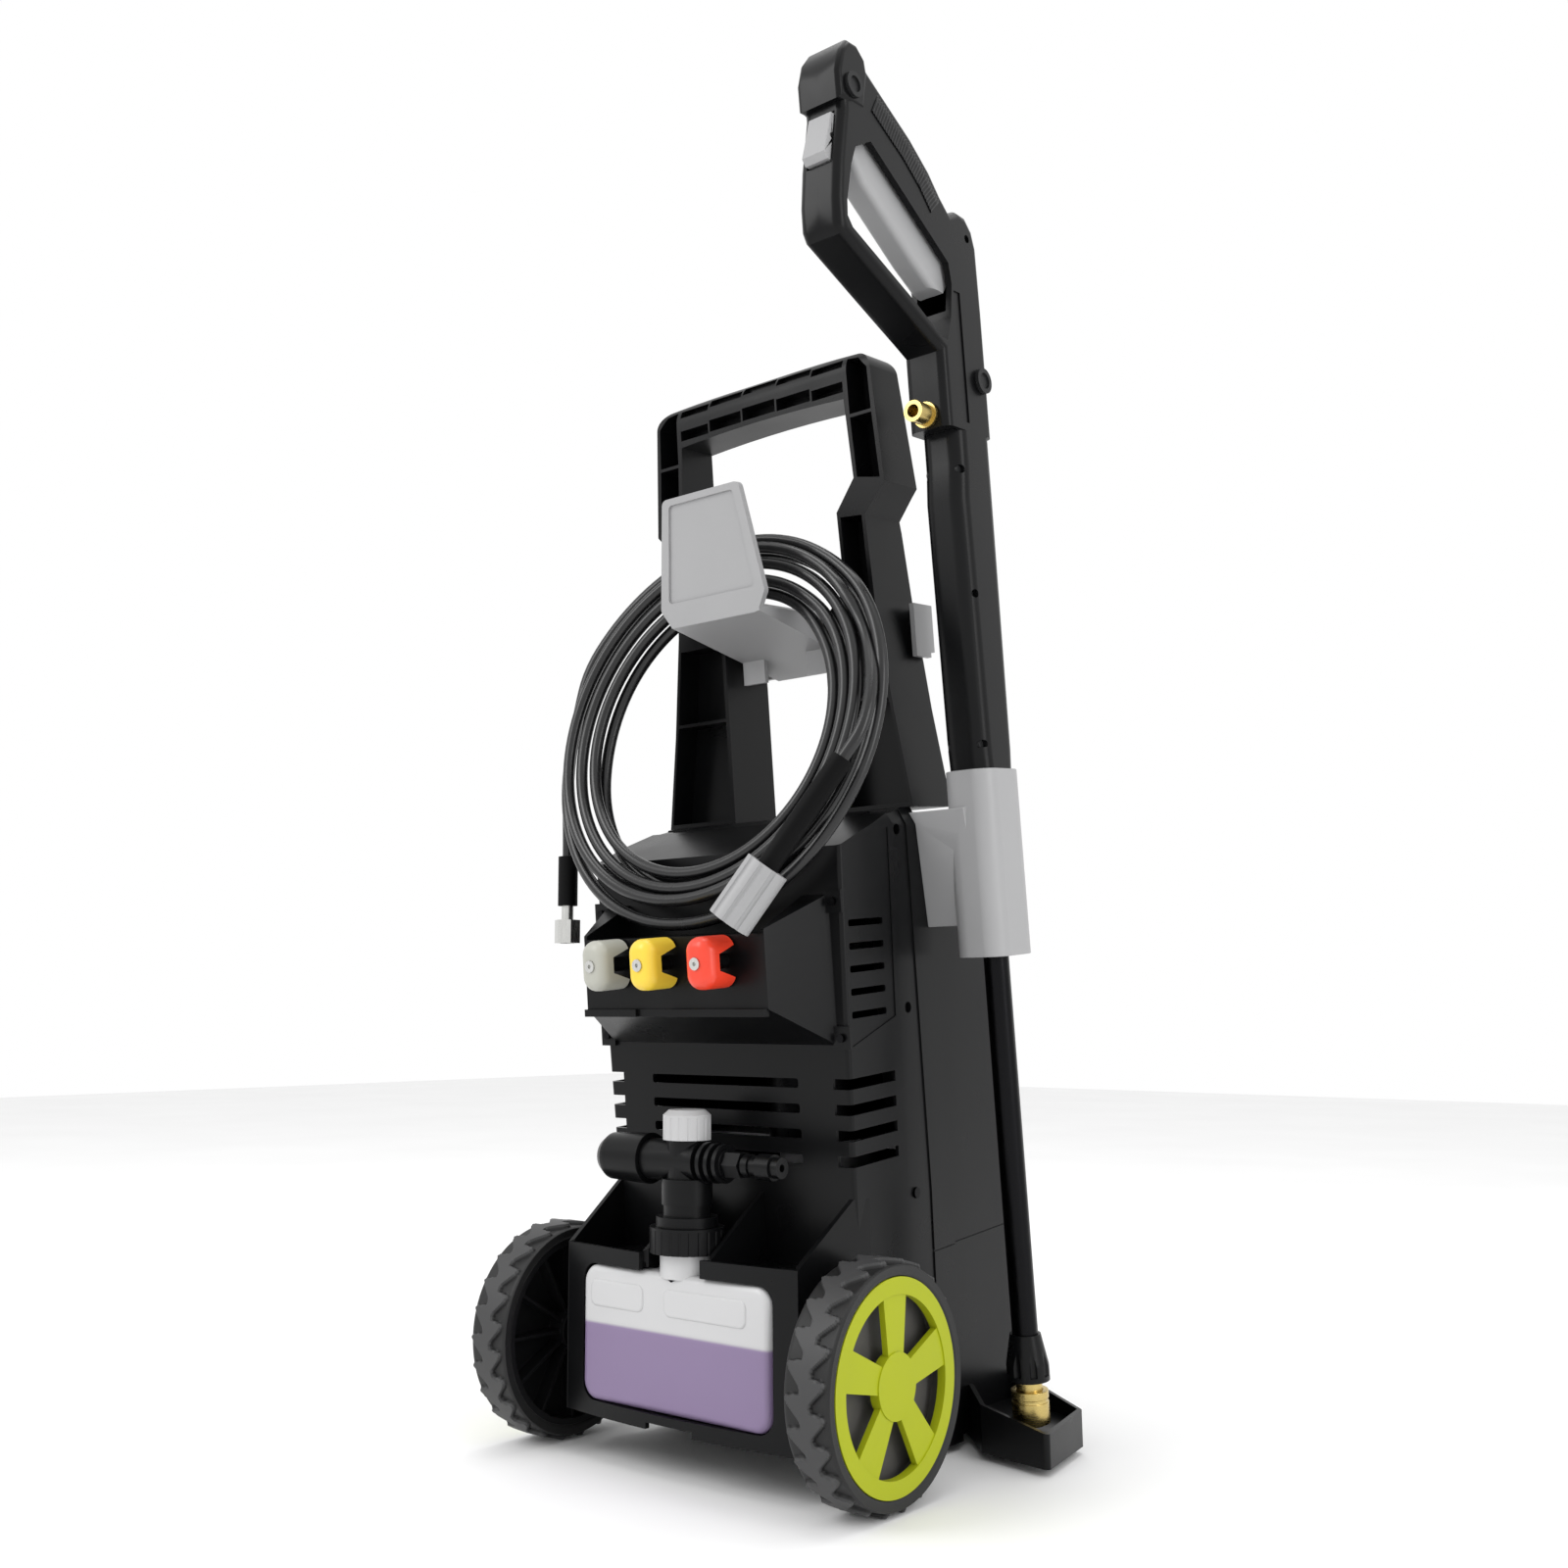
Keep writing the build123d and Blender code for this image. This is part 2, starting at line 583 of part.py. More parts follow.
def gun_part(outline, half, radius, side):
    """Half of a gun section, rounded along its outer side."""
    face = make_face(Polyline(*outline, close=True))
    part = extrude(Plane.YZ.offset(GUN_X) * face, side * half)
    outer_face = part.faces().sort_by(Axis.X)[-1 if side > 0 else 0]
    return fillet(outer_face.edges(), radius)


def side_rod(side, near, far, spot, radius):
    """A round bar across the gun, its ends given as distances from the middle plane."""
    x0, x1 = sorted((GUN_X + side * near, GUN_X + side * far))
    return x_rod(x0, x1, spot[0], spot[1], radius)


def gun_half(side):
    """One moulded half of the gun; side is -1 or 1."""
    half = gun_part(GUN_UPPER, GUN_HALF, 8, side) & block((100, 250), (0, 240), (BARREL_TOP, 1200))
    half += gun_part(GUN_BARREL, GUN_HALF, 13.5, side) & block((100, 250), (0, 240), (400, BARREL_TOP))
    half += gun_part(GUN_CAP, CAP_HALF, 5, side)
    half += side_rod(side, GUN_ROOM + 1, CAP_HALF, REAR_BOSS, REAR_BOSS[2])
    half -= side_slab(GUN_WINDOW, GUN_X - 40, GUN_X + 40)
    half -= gun_cavity()
    for spot in SHELL_SCREWS:
        half -= side_rod(side, 13, GUN_HALF + 1, spot, 3.6)
    groove = block((GUN_HALF - 1.2, GUN_HALF + 1), (171, 181), (836, 950))
    half -= Pos(GUN_X, 0, 0) * (groove if side > 0 else mirrored(groove))
    half -= y_rod(120, 180, GUN_X, 841, 9.2)
    half -= z_rod(420, 450, GUN_X, LANCE_Y, LANCE_R + 0.1)
    half += side_rod(side, 0, GUN_ROOM + 1, TRIGGER_PIN, TRIGGER_PIN[2])
    half += side_rod(side, 0, 12, LOCK_PIN, LOCK_PIN[2])
    return lean(half)


def gun_cavity():
    cavity = block((GUN_X - GUN_ROOM, GUN_X + GUN_ROOM), (175, 208), (440, 985))
    trigger_room = [(40, 1034), (44, 1000), (130, 932), (206, 932), (206, 985), (186, 1008),
                    (168, 1013), (150, 1032), (124, 1054), (84, 1080), (62, 1086), (50, 1080)]
    lock_room = [(0, 1016.5), (24, 1016.5), (31, 1045), (31, 1062), (0, 1062)]
    cavity += side_slab(trigger_room, GUN_X - GUN_ROOM, GUN_X + GUN_ROOM)
    return cavity + side_slab(lock_room, GUN_X - 11.5, GUN_X + 11.5)


def gun_trigger():
    """Hollow paddle with a broad rounded front, hung on its pin."""
    outline = [(46, 1044), (46, 1030), (58, 1013), (126, 965), (150, 951), (168, 949), (176, 959),
               (172, 974), (70, 1046), (66, 1058), (56, 1062), (47, 1056)]
    paddle = side_slab(outline, GUN_X - 11.5, GUN_X + 11.5)
    finger_side = Axis((0, 0, 0), (0, 0.58, 0.81))
    for end in (0, -1):
        edges = paddle.faces().sort_by(Axis.X)[end].edges().sort_by(finger_side)
        paddle = fillet(edges[:3], 6)
    channel = [(62, 1060), (57, 1034), (66, 1019), (130, 974), (152, 961), (164, 960), (164, 974),
               (90, 1050)]
    paddle -= side_slab(channel, GUN_X - 8, GUN_X + 8)
    pin_y, pin_z, pin_radius = TRIGGER_PIN
    return lean(paddle - x_rod(GUN_X - 20, GUN_X + 20, pin_y, pin_z, pin_radius + PIN_PLAY))


def trigger_lock():
    outline = [(20, 1060), (28, 1060), (28, 1045), (22.5, 1018.5), (11, 1018.5), (7, 1024), (13, 1040)]
    lock = side_slab(outline, GUN_X - 11, GUN_X + 11)
    pin_y, pin_z, pin_radius = LOCK_PIN
    return lean(lock - x_rod(GUN_X - 20, GUN_X + 20, pin_y, pin_z, pin_radius + PIN_PLAY))


def gun_valve():
    """Brass valve block with its hose inlet and the push rod up to the trigger."""
    valve = rounded_box((GUN_X - 13, GUN_X + 13), (175.5, 206), (822, 872), 5, Axis.Z)
    valve += z_rod(872, 930, GUN_X, LANCE_Y, 4)
    valve += y_rod(125, 176, GUN_X, 841, 9)
    valve += y_rod(143, 146.6, GUN_X, 841, 11)
    return lean(valve - y_rod(120, 150, GUN_X, 841, 5.5))


def lance_tube():
    return lean(z_rod(48, 821.5, GUN_X, LANCE_Y, LANCE_R) - z_rod(40, 830, GUN_X, LANCE_Y, 7))


def lance_collar():
    """Flared grip collar with flutes that stop short of its lower end."""
    collar = z_rod(60, 84, GUN_X, LANCE_Y, 17.2, 12.5) + z_rod(48, 60, GUN_X, LANCE_Y, 17.2)
    for i in range(8):
        flute = Pos(GUN_X, LANCE_Y, 0) * Rot(Z=45 * i) * z_rod(52, 80, 18.8, 0, 3.6)
        collar -= flute
    return lean(collar - z_rod(40, 90, GUN_X, LANCE_Y, LANCE_R))


def coupler_body():
    body = z_rod(LANCE_FOOT, 48, GUN_X, LANCE_Y, 10.5) + z_rod(46.5, 48, GUN_X, LANCE_Y, 13)
    return lean(body - z_rod(LANCE_FOOT - 1, 34, GUN_X, LANCE_Y, 6))


def coupler_sleeve():
    """Sliding sleeve with a grip ring, its groove above the middle."""
    low = LANCE_FOOT + 2
    sleeve = z_rod(low, 40, GUN_X, LANCE_Y, 15) - z_rod(low - 2, 42, GUN_X, LANCE_Y, 10.6)
    sleeve -= z_rod(31, 34, GUN_X, LANCE_Y, 16) - z_rod(31, 34, GUN_X, LANCE_Y, 14)
    return lean(sleeve)


def gun_screws():
    """Round boss caps and sunk screws on the sides of the gun."""
    pieces = []
    for side in (-1, 1):
        for spot in (HEAD_BOSS, REAR_BOSS):
            cap = side_rod(side, CAP_HALF, CAP_HALF + 3, spot, spot[2])
            pieces.append(cap - side_rod(side, CAP_HALF + 1.2, CAP_HALF + 5, spot, spot[2] - 4))
        for spot in SHELL_SCREWS:
            pieces.append(side_rod(side, 13, 15, spot, 3.3))
    return group([lean(piece) for piece in pieces])


# ---- foam cannon --------------------------------------------------------------------------------
def bottle_block(inset):
    shape = block((-98 + inset, 98 - inset), (-42 + inset, 14 - inset), (46.9 + inset, 153.4 - inset))
    shape = fillet(shape.edges().filter_by(Axis.Y), 15 - inset)
    return fillet(shape.edges().group_by(Axis.Y)[0] + shape.edges().group_by(Axis.Y)[-1], 6 - inset)


def foam_bottle():
    bottle = bottle_block(0) + z_rod(150, 186, 0, FOAM_Y, 21.7)
    return bottle - bottle_block(2) - z_rod(140, 190, 0, FOAM_Y, 19)


def foam_liquid():
    return bottle_block(2.1) & block((-120, 120), (-60, 40), (40, 108))


def foam_collar():
    collar = z_rod(169, 189, 0, FOAM_Y, 30) - z_rod(160, 186.2, 0, FOAM_Y, 22)
    for i in range(24):
        collar -= Pos(0, FOAM_Y, 0) * Rot(Z=15 * i) * z_rod(165, 187, 31, 0, 1.6)
    return collar


def foam_body():
    body = z_rod(189.2, 197, 0, FOAM_Y, 25) + z_rod(197, 206, 0, FOAM_Y, 19)
    body += z_rod(206, 226, 0, FOAM_Y, 20.5) + z_rod(226, 256, 0, FOAM_Y, 16)
    body += z_rod(256, 270, 0, FOAM_Y, 5) + x_rod(-55, -38, FOAM_Y, FOAM_Z, 8)
    body += x_rod(-38, 14, FOAM_Y, FOAM_Z, 16.5) + x_rod(14, 44, FOAM_Y, FOAM_Z, 12)
    for i in range(4):
        body += x_rod(14 + 8 * i, 17.5 + 8 * i, FOAM_Y, FOAM_Z, 16.6 - 0.5 * i)
    return body


def foam_knob():
    knob = z_rod(256.4, 276, 0, FOAM_Y, 19.5) + z_rod(276, 280, 0, FOAM_Y, 19.5, 15)
    for i in range(16):
        knob -= Pos(0, FOAM_Y, 0) * Rot(Z=22.5 * i) * z_rod(254, 274, 20.6, 0, 1.6)
    return knob - z_rod(250, 270.5, 0, FOAM_Y, 5.08)


def foam_barrel():
    barrel = x_rod(-80, -38.4, FOAM_Y, FOAM_Z, 19, 20.5) + x_rod(-88, -80, FOAM_Y, FOAM_Z, 14, 19)
    return barrel - x_rod(-60, -30, FOAM_Y, FOAM_Z, 8.08) - x_rod(-92, -55.5, FOAM_Y, FOAM_Z, 11, 8.5)


def foam_plug():
    hexagon = Plane.YZ.offset(44) * Pos(FOAM_Y, FOAM_Z) * RegularPolygon(11, 6, major_radius=True)
    plug = extrude(hexagon, 16) + x_rod(60, 80, FOAM_Y, FOAM_Z, 7.5)
    plug += x_rod(62, 68, FOAM_Y, FOAM_Z, 9) + x_rod(76, 90, FOAM_Y, FOAM_Z, 10)
    plug += x_rod(90, 97, FOAM_Y, FOAM_Z, 8)
    return plug - x_rod(70, 100, FOAM_Y, FOAM_Z, 3)


# ---- hose ---------------------------------------------------------------------------------------
RIGHT_SLEEVE_TOP = (160, 27, 552)
RIGHT_NUT_TOP = (107.4, -8.6, 471.6)
RIGHT_NUT_END = (80, -27, 430)
LEFT_SLEEVE_TOP = (-179, 59.3, 496)
LEFT_SLEEVE_END = (-179, 55.3, 451)

RIGHT_TAIL = [(146, 92, 660), (170, 62, 615), (175.6, 37.5, 575.8), RIGHT_NUT_TOP]
LEFT_TAIL = [(-175, 79, 630), (-184, 69.5, 575), (-179, 60.7, 512), LEFT_SLEEVE_END]


def cord_tube(points, diameter):
    """Straight runs joined by the largest arcs that the runs allow."""
    corners = [Vector(*p) for p in points]
    radii = []
    for before, here, after in zip(corners, corners[1:], corners[2:]):
        turn = (here - before).get_angle(after - here)
        run = min((here - before).length, (after - here).length)
        radii.append(0.45 * run / math.tan(math.radians(turn) / 2))
    path = FilletPolyline(*points, radius=radii)
    section = Plane(origin=path @ 0, z_dir=path % 0) * Circle(diameter / 2)
    tube = sweep(section, path=path)
    print("cord radii", [round(r) for r in radii], "length", round(path.length),
          "volume ratio", round(tube.volume / (math.pi * diameter ** 2 / 4 * path.length), 4))
    return tube


def hose_coil():
    """Outer shape of the six turns that hang on the hook."""
    middle = (COIL_R_OUT + COIL_R_IN) / 2
    section = Pos(middle, 0) * Ellipse((COIL_R_OUT - COIL_R_IN) / 2, COIL_THICK / 2)
    ring = revolve(section, Axis.Y)
    tilt = math.degrees(math.atan(COIL_SLOPE))
    return lean(Pos(COIL_X, COIL_Y, COIL_Z) * Rot(X=-tilt) * ring)


def hose_sleeves():
    right = rod(RIGHT_SLEEVE_TOP, RIGHT_NUT_TOP, 9)
    left = rod(LEFT_SLEEVE_TOP, LEFT_SLEEVE_END, 9)
    return group([lean(right), lean(left)])


def hose_nut():
    """Large ribbed hand nut on the gun end of the hose."""
    nut = rod(RIGHT_NUT_TOP, RIGHT_NUT_END, 18)
    axis = Vector(*RIGHT_NUT_END) - Vector(*RIGHT_NUT_TOP)
    plane = Plane(origin=RIGHT_NUT_TOP, z_dir=axis)
    for i in range(10):
        nut -= plane * Rot(Z=36 * i) * Pos(18.6, 0, 27) * Cylinder(2.2, 60)
    return lean(nut - rod((85, -23.7, 437.5), RIGHT_NUT_END, 11))


def hose_fitting():
    """Steel stem and hex swivel nut on the other end."""
    down = Vector(0, -0.0896, -0.996)
    start = Vector(*LEFT_SLEEVE_END)
    plane = Plane(origin=tuple(start + down * 13), z_dir=tuple(down))
    nut = extrude(plane * RegularPolygon(12, 6), 21)
    stem = rod(LEFT_SLEEVE_END, tuple(start + down * 13), 5.5)
    bore = extrude(plane.offset(12) * Circle(7), 12)
    return lean(stem + nut - bore)


# ---- assembly -----------------------------------------------------------------------------------
CORD_NODES = ["hose_coil", "hose_tail_right", "hose_tail_left", "hose_sleeves", "hose_nut",
              "hose_fitting"]


def two_axles():
    axle = x_rod(AXLE_IN, AXLE_OUT, 0, WHEEL_R, AXLE_R)
    return group([axle, mirrored(axle)])


def two_push_nuts():
    nut = push_nut()
    return group([nut, mirrored(nut)])


def build():
    nodes = {
        "front_housing": front_housing(), "rear_housing": rear_housing(),
        "nozzle_panel": nozzle_panel(), "bottle_cradle": bottle_cradle(),
        "push_handle": handle(), "hose_hook": hose_hook(), "lance_holster": lance_holster(),
        "lance_bracket": lance_bracket(), "rubber_feet": rubber_feet(), "case_screws": case_screws(),
        "stub_axles": two_axles(), "push_nuts": two_push_nuts(),
        "motor_can": motor_can(), "motor_end_bells": motor_end_bells(),
        "motor_rotor": motor_rotor(), "cooling_fan": cooling_fan(), "swash_plate": swash_plate(),
        "pump_housing": pump_housing(), "pump_pistons": pump_pistons(), "pump_head": pump_head(),
        "inlet_connector": inlet_connector(), "outlet_connector": outlet_connector(),
        "switch_box": switch_box(), "cord_gland": cord_gland(), "power_knob": power_knob(),
        "gun_shell_left": gun_half(-1), "gun_shell_right": gun_half(1), "gun_screws": gun_screws(),
        "gun_trigger": gun_trigger(), "trigger_lock": trigger_lock(),
        "gun_valve": gun_valve(), "lance_tube": lance_tube(), "lance_collar": lance_collar(),
        "coupler_body": coupler_body(), "coupler_sleeve": coupler_sleeve(),
        "foam_bottle": foam_bottle(), "foam_liquid": foam_liquid(), "foam_collar": foam_collar(),
        "foam_body": foam_body(), "foam_knob": foam_knob(), "foam_barrel": foam_barrel(),
        "foam_plug": foam_plug(),
        "hose_coil": hose_coil(), "hose_sleeves": hose_sleeves(), "hose_nut": hose_nut(),
        "hose_fitting": hose_fitting(),
        "hose_tail_right": lean(cord_tube(RIGHT_TAIL, HOSE_D)),
        "hose_tail_left": lean(cord_tube(LEFT_TAIL, HOSE_D)),
    }
    for name, maker in (("tyre", tyre), ("wheel_disc", wheel_disc), ("hub_cap", hub_cap)):
        shape = maker()
        nodes[name + "_right"] = shape
        nodes[name + "_left"] = mirrored(shape)
    for colour, x in NOZZLE_X.items():
        nodes["nozzle_cap_" + colour] = nozzle_cap(x)
        nodes["nozzle_tip_" + colour] = nozzle_tip(x)
    return nodes


def main():
    nodes = build()
    boxes = [s.bounding_box() for n, s in nodes.items() if n not in CORD_NODES]
    low = [min(getattr(b.min, axis) for b in boxes) for axis in "XYZ"]
    high = [max(getattr(b.max, axis) for b in boxes) for axis in "XYZ"]
    shift = Pos(-(low[0] + high[0]) / 2, -(low[1] + high[1]) / 2, -low[2])
    print("shift", shift.position)
    os.makedirs("parts", exist_ok=True)
    for name, shape in nodes.items():
        export_step(shift * shape, f"parts/{name}.step")


main()
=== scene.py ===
import bpy
import bmesh
import math
from mathutils import Matrix, Vector


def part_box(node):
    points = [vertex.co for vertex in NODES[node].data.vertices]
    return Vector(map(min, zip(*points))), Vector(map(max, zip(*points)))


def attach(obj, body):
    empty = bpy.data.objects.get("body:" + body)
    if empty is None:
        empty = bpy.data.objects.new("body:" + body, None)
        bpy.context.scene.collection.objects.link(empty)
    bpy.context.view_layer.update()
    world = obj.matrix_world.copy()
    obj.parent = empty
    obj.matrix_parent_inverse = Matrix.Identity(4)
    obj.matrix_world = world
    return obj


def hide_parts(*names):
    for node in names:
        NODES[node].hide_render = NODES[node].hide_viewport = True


# Pressure washer, looks. Metres, +Z up, the same frame as the CAD.
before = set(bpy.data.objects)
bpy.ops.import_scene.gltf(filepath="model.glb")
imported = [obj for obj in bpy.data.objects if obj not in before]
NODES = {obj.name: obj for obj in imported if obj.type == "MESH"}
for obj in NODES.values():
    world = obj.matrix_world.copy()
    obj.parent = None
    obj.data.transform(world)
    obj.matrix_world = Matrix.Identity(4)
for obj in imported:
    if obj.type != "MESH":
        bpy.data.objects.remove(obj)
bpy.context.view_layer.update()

# ---- the two frames of the machine ---------------------------------------------------------------
OFFSET = Vector((-0.0161263, -0.123175, 0.0))      # the row's origin, seen from the axle frame
LEAN = math.radians(5.14)                        # the tower leans forward
TOWER = Matrix.Translation(OFFSET) @ Matrix.Rotation(LEAN, 4, "X")
BASE = Matrix.Translation(OFFSET)


def tower(x, y, z):
    """A point given in millimetres in the leaning tower's frame."""
    return TOWER @ Vector((x / 1000, y / 1000, z / 1000))


# ---- camera --------------------------------------------------------------------------------------
CAMERA_PLACE = Vector((0.88413, -1.02955, 0.35721))      # from the axle's middle, on the floor
CAMERA_AHEAD = Vector((-0.64936, 0.74240, 0.16483))
FOCAL_LENGTH = 37.06                                     # mm, on a 36 mm wide sensor
FRAME_SHIFT = (0.0596, -0.026)


def make_camera():
    data = bpy.data.cameras.new("camera")
    data.lens = FOCAL_LENGTH
    data.sensor_width = 36.0
    data.shift_x, data.shift_y = FRAME_SHIFT
    data.clip_start = 0.05
    cam = bpy.data.objects.new("camera", data)
    cam.location = CAMERA_PLACE + OFFSET
    cam.rotation_euler = CAMERA_AHEAD.normalized().to_track_quat("-Z", "Y").to_euler()
    bpy.context.scene.collection.objects.link(cam)
    bpy.context.scene.camera = cam


make_camera()

# ---- materials -----------------------------------------------------------------------------------
def new_material(name):
    mat = bpy.data.materials.new(name)
    mat.use_nodes = True
    tree = mat.node_tree
    shader = tree.nodes["Principled BSDF"]
    return mat, tree, shader


def noise(tree, scale, detail=3.0, rough=0.55):
    """Noise fixed to the piece."""
    coords = tree.nodes.new("ShaderNodeTexCoord")
    node = tree.nodes.new("ShaderNodeTexNoise")
    node.inputs["Scale"].default_value = scale
    node.inputs["Detail"].default_value = detail
    node.inputs["Roughness"].default_value = rough
    tree.links.new(coords.outputs["Object"], node.inputs["Vector"])
    return node


def spread(tree, source, low, high, start=0.3, stop=0.7):
    """Maps source, from start to stop, on to low to high."""
    node = tree.nodes.new("ShaderNodeMapRange")
    node.inputs["From Min"].default_value = start
    node.inputs["From Max"].default_value = stop
    node.inputs["To Min"].default_value = low
    node.inputs["To Max"].default_value = high
    tree.links.new(source, node.inputs["Value"])
    return node.outputs["Result"]


def two_tone(tree, source, dark, light):
    """A colour that goes from dark to light as source rises."""
    ramp = tree.nodes.new("ShaderNodeValToRGB")
    ramp.color_ramp.elements[0].position = 0.3
    ramp.color_ramp.elements[1].position = 0.7
    ramp.color_ramp.elements[0].color = (*dark, 1)
    ramp.color_ramp.elements[1].color = (*light, 1)
    tree.links.new(source, ramp.inputs["Fac"])
    return ramp.outputs["Color"]


def bump(tree, shader, source, strength, distance):
    """Fine surface relief, distance metres deep."""
    node = tree.nodes.new("ShaderNodeBump")
    node.inputs["Strength"].default_value = strength
    node.inputs["Distance"].default_value = distance
    tree.links.new(source, node.inputs["Height"])
    tree.links.new(node.outputs["Normal"], shader.inputs["Normal"])


def moulded(name, colour, rough=0.38, grain=1400.0, depth=0.00006, vary=0.12, strength=0.35,
            shine=0.5):
    """Moulded plastic: fine spark-eroded grain, slight waviness in gloss and tone."""
    mat, tree, shader = new_material(name)
    shader.inputs["Specular IOR Level"].default_value = shine
    broad = noise(tree, 9.0)
    fine = noise(tree, grain)
    dark = tuple(c * (1 - vary) for c in colour)
    light = tuple(min(1.0, c * (1 + vary)) for c in colour)
    tree.links.new(two_tone(tree, broad.outputs["Fac"], dark, light), shader.inputs["Base Color"])
    tree.links.new(spread(tree, broad.outputs["Fac"], rough - 0.05, rough + 0.07), shader.inputs["Roughness"])
    bump(tree, shader, fine.outputs["Fac"], strength, depth)
    return mat


def metal(name, colour, rough=0.28, grain=(900.0, 900.0, 60.0), vary=0.08):
    """Turned or drawn metal with fine tool marks."""
    mat, tree, shader = new_material(name)
    coords = tree.nodes.new("ShaderNodeTexCoord")
    scale = tree.nodes.new("ShaderNodeMapping")
    scale.inputs["Scale"].default_value = grain
    marks = tree.nodes.new("ShaderNodeTexNoise")
    marks.inputs["Scale"].default_value = 1.0
    marks.inputs["Detail"].default_value = 5.0
    tree.links.new(coords.outputs["Object"], scale.inputs["Vector"])
    tree.links.new(scale.outputs["Vector"], marks.inputs["Vector"])
    dark = tuple(c * (1 - vary) for c in colour)
    tree.links.new(two_tone(tree, marks.outputs["Fac"], dark, colour), shader.inputs["Base Color"])
    tree.links.new(spread(tree, marks.outputs["Fac"], rough - 0.07, rough + 0.1), shader.inputs["Roughness"])
    shader.inputs["Metallic"].default_value = 1.0
    bump(tree, shader, marks.outputs["Fac"], 0.08, 0.00002)
    return mat


BLACK = moulded("moulded_black", (0.0035, 0.0036, 0.004), rough=0.3, shine=0.17)
DEEP = moulded("moulded_inside_black", (0.002, 0.002, 0.0022), rough=0.55, shine=0.1)
CHARCOAL = moulded("moulded_charcoal", (0.013, 0.0133, 0.014), rough=0.45, shine=0.2)
GREY = moulded("moulded_light_grey", (0.325, 0.325, 0.33), rough=0.42, vary=0.03)
PALE = moulded("moulded_off_white", (0.46, 0.46, 0.465), rough=0.4, vary=0.03)
LIME = moulded("moulded_lime", (0.345, 0.385, 0.008), rough=0.4, vary=0.04, shine=0.2)
WHITE = moulded("moulded_warm_white", (0.42, 0.42, 0.37), rough=0.4, vary=0.05)
YELLOW = moulded("moulded_yellow", (0.86, 0.60, 0.05), rough=0.33, vary=0.05)
RED = moulded("moulded_red", (0.78, 0.05, 0.02), rough=0.33, vary=0.06)
HOSE_SKIN = moulded("hose_rubber", (0.005, 0.005, 0.0055), rough=0.26, grain=700.0, depth=0.0001,
                    shine=0.5)
STEEL = metal("zinc_steel", (0.62, 0.62, 0.60))
BRASS = metal("turned_brass", (0.60, 0.46, 0.17), rough=0.26, grain=(120.0, 120.0, 2600.0))
CAST = metal("cast_aluminium", (0.55, 0.55, 0.57), rough=0.5, grain=(500.0, 500.0, 500.0))
# near-black steel for the lance tube and screws; on the motor can the same finish is painted shade
TUBE_AND_SHADE = metal("black_steel_tube_and_painted_shade", (0.012, 0.012, 0.013), rough=0.33, grain=(900.0, 900.0, 20.0))


def tyre_material():
    """Rubber with paler lug tops; the pockets and sidewalls are darkened with painted shade."""
    mat, tree, shader = new_material("tyre_rubber")
    coords = tree.nodes.new("ShaderNodeTexCoord")
    centred = tree.nodes.new("ShaderNodeVectorMath")
    centred.operation = "SUBTRACT"
    centred.inputs[1].default_value = (0.5, 0.5, 0.5)
    radial = tree.nodes.new("ShaderNodeVectorMath")
    radial.operation = "MULTIPLY"
    radial.inputs[1].default_value = (0.0, 1.0, 1.0)
    length = tree.nodes.new("ShaderNodeVectorMath")
    length.operation = "LENGTH"
    tree.links.new(coords.outputs["Generated"], centred.inputs[0])
    tree.links.new(centred.outputs["Vector"], radial.inputs[0])
    tree.links.new(radial.outputs["Vector"], length.inputs[0])
    # painted shade: everything below the lug tops, the pockets and the sidewalls, gets the darker rubber
    # colour
    painted_pocket_shade = spread(tree, length.outputs["Value"], 0.0, 1.0, 0.484, 0.496)
    colour = two_tone(tree, painted_pocket_shade, (0.009, 0.009, 0.0092), (0.045, 0.045, 0.046))
    tree.links.new(colour, shader.inputs["Base Color"])
    shader.inputs["Roughness"].default_value = 0.48
    shader.inputs["Specular IOR Level"].default_value = 0.35
    fine = noise(tree, 900.0)
    bump(tree, shader, fine.outputs["Fac"], 0.35, 0.00012)
    return mat


def disc_material(name, outward):
    """Wheel disc: dark grey on the face behind the cover, with painted shade turning its back black."""
    mat, tree, shader = new_material(name)
    coords = tree.nodes.new("ShaderNodeTexCoord")
    split = tree.nodes.new("ShaderNodeSeparateXYZ")
    tree.links.new(coords.outputs["Generated"], split.inputs["Vector"])
    # painted shade: the disc's back, away from the cover, is coloured black, its face dark grey
    painted_back_shade = spread(tree, split.outputs["X"], 0.0, 1.0, 0.5 + 0.09 * outward, 0.5 + 0.13 * outward)
    colour = two_tone(tree, painted_back_shade, (0.004, 0.004, 0.0045), (0.095, 0.091, 0.088))
    tree.links.new(colour, shader.inputs["Base Color"])
    shader.inputs["Roughness"].default_value = 0.45
    shader.inputs["Specular IOR Level"].default_value = 0.2
    fine = noise(tree, 1400.0)
    bump(tree, shader, fine.outputs["Fac"], 0.35, 0.00006)
    return mat


def paint(name, mat):
    data = NODES[name].data
    data.materials.clear()
    data.materials.append(mat)


def soften(name, width=0.0008, segments=2, angle=32):
    """Rounds the CAD edges a little, as a moulding tool leaves them."""
    obj = NODES[name]
    weld = obj.modifiers.new("weld", "WELD")
    weld.merge_threshold = 0.00001
    bevel = obj.modifiers.new("bevel", "BEVEL")
    bevel.width = width
    bevel.segments = segments
    bevel.limit_method = "ANGLE"
    bevel.angle_limit = math.radians(angle)
    bevel.harden_normals = False
    bevel.use_clamp_overlap = True
    for poly in obj.data.polygons:
        poly.use_smooth = True
    smooth = obj.modifiers.new("normals", "WEIGHTED_NORMAL")
    smooth.keep_sharp = False
    smooth.weight = 60


